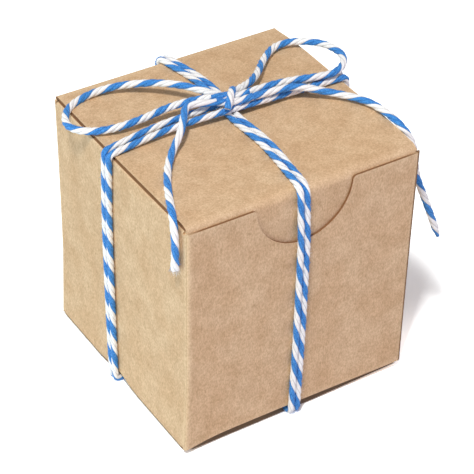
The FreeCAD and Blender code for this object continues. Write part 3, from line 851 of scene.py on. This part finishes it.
def settle_carton():
    """The carton as it lies under the tight twine: a copy that settle() has bent. Its
    material follows the board as it was folded."""
    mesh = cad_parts["carton"].data.copy()
    shape = bmesh.new()
    shape.from_mesh(mesh)
    bmesh.ops.remove_doubles(shape, verts=shape.verts, dist=0.001 * MM)
    cuts = [(axis, step * CUT_SPACING) for axis in (0, 1) for step in range(-8, 9)]
    cuts += [(2, BOTTOM + step * CUT_SPACING_UP) for step in range(1, 10)]
    for axis, place in cuts:
        normal = Vector((0, 0, 0))
        normal[axis] = 1.0
        bmesh.ops.bisect_plane(
            shape, geom=[*shape.verts, *shape.edges, *shape.faces], dist=0.0001 * MM,
            plane_co=normal * place, plane_no=normal)
    fill_fold_ends(shape)
    as_folded = shape.verts.layers.float_vector.new("as_folded")
    for vertex in shape.verts:
        vertex[as_folded] = vertex.co
        vertex.co = settle(vertex.co)
    bmesh.ops.triangulate(shape, faces=shape.faces)
    for face in shape.faces:
        face.smooth = True
    for edge in shape.edges:
        edge.smooth = len(edge.link_faces) == 2 and edge.calc_face_angle(0.0) < SHARP_EDGE
    shape.to_mesh(mesh)
    shape.free()
    mesh.materials.clear()
    mesh.materials.append(board_material)
    hand_in(add_object("kraft_carton", mesh), "carton")


settle_carton()


# Table, background and light

TABLE_HALF = 2.0


def make_card_material():
    """White card. Seen directly it is so pale that only deep shade shows on it, and it carries
    painted shade in a strip under the front panel and painted light to the box's front right.
    """
    material, tree, shader = new_material("white card")
    shader.inputs["Base Color"].default_value = linear("#F0F0F0")
    shader.inputs["Roughness"].default_value = 0.9
    place = add_node(tree, "ShaderNodeTexCoord").outputs["Object"]
    x, y = (add_node(tree, "ShaderNodeSeparateXYZ", {0: place}).outputs[axis] for axis in (0, 1))

    # painted shade under the front panel's lower edge: the strip's outer edge, which slants in
    # towards the right, then its left end, its right end and how far back it goes
    slanted_part = math_node(tree, "MAXIMUM", x, 4 * MM)
    slant = math_node(tree, "MULTIPLY_ADD", slanted_part, -0.025, y)
    painted_shade_strip = ramp(tree, slant, -24.9 * MM, -24.65 * MM)
    for limit in (
        ramp(tree, x, -24.6 * MM, -23.4 * MM),
        ramp(tree, x, 25.0 * MM, 25.6 * MM, 1.0, 0.0, "LINEAR"),
        ramp(tree, y, -15 * MM, -10 * MM, 1.0, 0.0, "LINEAR"),
    ):
        painted_shade_strip = math_node(tree, "MULTIPLY", painted_shade_strip, limit)

    # painted light: seen directly, the card is brighter still to the box's right towards the
    # front, so that the shade there thins out
    to_front = ramp(tree, y, -7 * MM, -26 * MM)
    to_right = ramp(tree, x, 0.0, 22 * MM)
    painted_light_front_right = math_node(tree, "MULTIPLY", to_front, to_right)
    pale = mix(tree, painted_light_front_right, (1.6, 1.7, 1.75, 1.0), (3.4, 3.65, 3.75, 1.0))
    colour = mix(tree, painted_shade_strip, pale, linear("#B3A697"))
    direct = add_node(tree, "ShaderNodeBsdfDiffuse", {"Color": colour})
    seen = add_node(tree, "ShaderNodeLightPath").outputs["Is Camera Ray"]
    card = add_node(tree, "ShaderNodeMixShader",
                    {0: seen, 1: shader.outputs[0], 2: direct.outputs[0]})
    output = next(node for node in tree.nodes if node.type == "OUTPUT_MATERIAL")
    tree.links.new(card.outputs[0], output.inputs["Surface"])
    return material


def lay_table():
    mesh = bpy.data.meshes.new("table")
    corners = [(x * TABLE_HALF, y * TABLE_HALF, 0)
               for x, y in ((-1, -1), (1, -1), (1, 1), (-1, 1))]
    mesh.from_pydata(corners, [], [(0, 1, 2, 3)])
    mesh.materials.append(make_card_material())
    add_object("table", mesh)


def light_room():
    """A white room, brighter to the eye than the light it sheds on the box."""
    world = bpy.data.worlds.new("studio")
    bpy.context.scene.world = world
    world.use_nodes = True
    tree = world.node_tree
    background = next(node for node in tree.nodes if node.type == "BACKGROUND")
    seen = add_node(tree, "ShaderNodeLightPath").outputs["Is Camera Ray"]
    strength = ramp(tree, seen, 0.0, 1.0, 0.36, 1.0, "LINEAR")
    tree.links.new(strength, background.inputs["Strength"])
    background.inputs["Color"].default_value = linear("#FFF8F8")


LAMPS = {
    # name: where it stands, how wide it is, power in watts, colour
    "key lamp": ((-0.26, -0.24, 0.72), 0.09, 4.15, "#FFFBF6"),
    "left softbox": ((-0.7, 0.05, 0.03), 0.4, 3.1, "#D4F7FF"),
    "front fill": ((0.3, -0.7, 0.0), 0.4, 1.33, "#C6B4FF"),
}
LAMPS_AIM = Vector((0, 0, 0.03))


def hang_lamps():
    for name, (place, extent, power, colour) in LAMPS.items():
        light = bpy.data.lights.new(name, "AREA")
        light.size = extent
        light.energy = power
        light.color = linear(colour)[:3]
        lamp = add_object(name, light)
        lamp.location = place
        aim = LAMPS_AIM - Vector(place)
        lamp.rotation_euler = aim.to_track_quat("-Z", "Y").to_euler()


lay_table()
light_room()
hang_lamps()
bpy.context.scene.view_settings.view_transform = "Standard"
